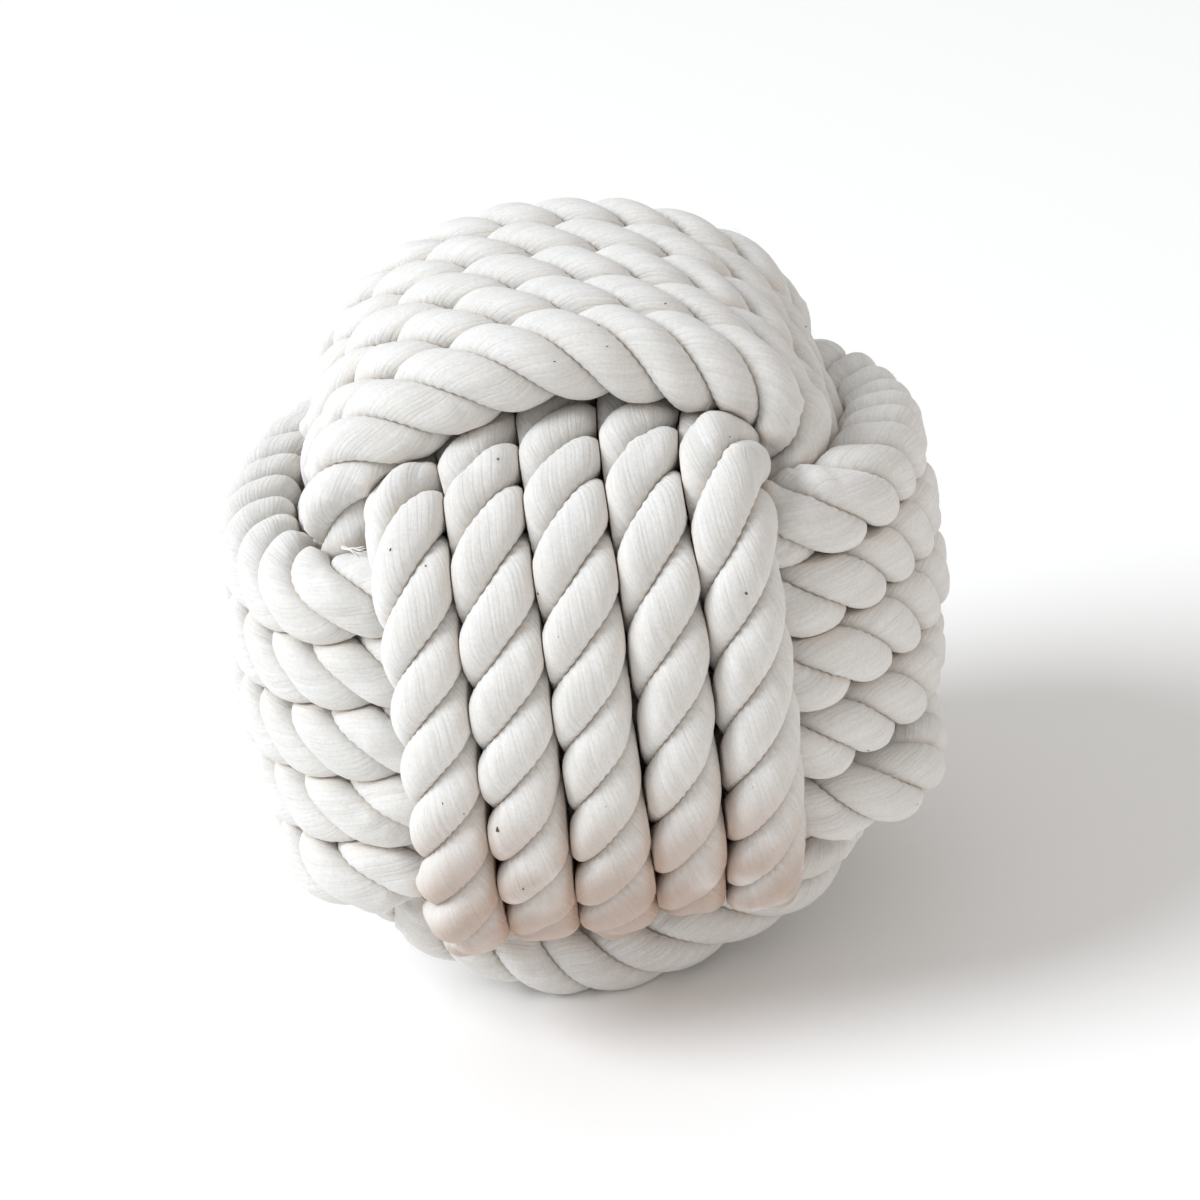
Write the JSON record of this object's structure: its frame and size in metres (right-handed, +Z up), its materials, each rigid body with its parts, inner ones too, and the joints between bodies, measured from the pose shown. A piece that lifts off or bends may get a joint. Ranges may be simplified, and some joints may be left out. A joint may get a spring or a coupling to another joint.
{
  "type": "monkey fist knot",
  "caption": "Ball knot of thick white three-strand cotton rope tied round a wooden core; a weight, door stop or shelf ornament that stands on the level ropes of its underside.",
  "frame": {"origin": "Under the middle of the ball's bounding box, on the surface that it stands on.", "axes": "+Z up. -Y is the front face of the picture, where the upright turns lie outermost; +X is to its right, where the girdle turns lie outermost; the crown turns lie outermost on top."},
  "size_m": [0.1872, 0.1863, 0.1888],
  "materials": {
    "rope_cotton": "matte natural cotton, laid rope",
    "core_wood": "plain turned wood"
  },
  "bodies": {
    "root": {"core_ball": "core_wood", "rope_start_tuck": "rope_cotton", "girdle_turn_1": "rope_cotton", "girdle_turn_2": "rope_cotton", "girdle_turn_3": "rope_cotton", "girdle_turn_4": "rope_cotton", "girdle_turn_5": "rope_cotton", "girdle_to_upright_run": "rope_cotton", "upright_turn_1": "rope_cotton", "upright_turn_2": "rope_cotton", "upright_turn_3": "rope_cotton", "upright_turn_4": "rope_cotton", "upright_turn_5": "rope_cotton", "upright_to_crown_run": "rope_cotton", "crown_turn_1": "rope_cotton", "crown_turn_2": "rope_cotton", "crown_turn_3": "rope_cotton", "crown_turn_4": "rope_cotton", "crown_turn_5": "rope_cotton", "rope_end_tuck": "rope_cotton"}
  },
  "joints": []
}
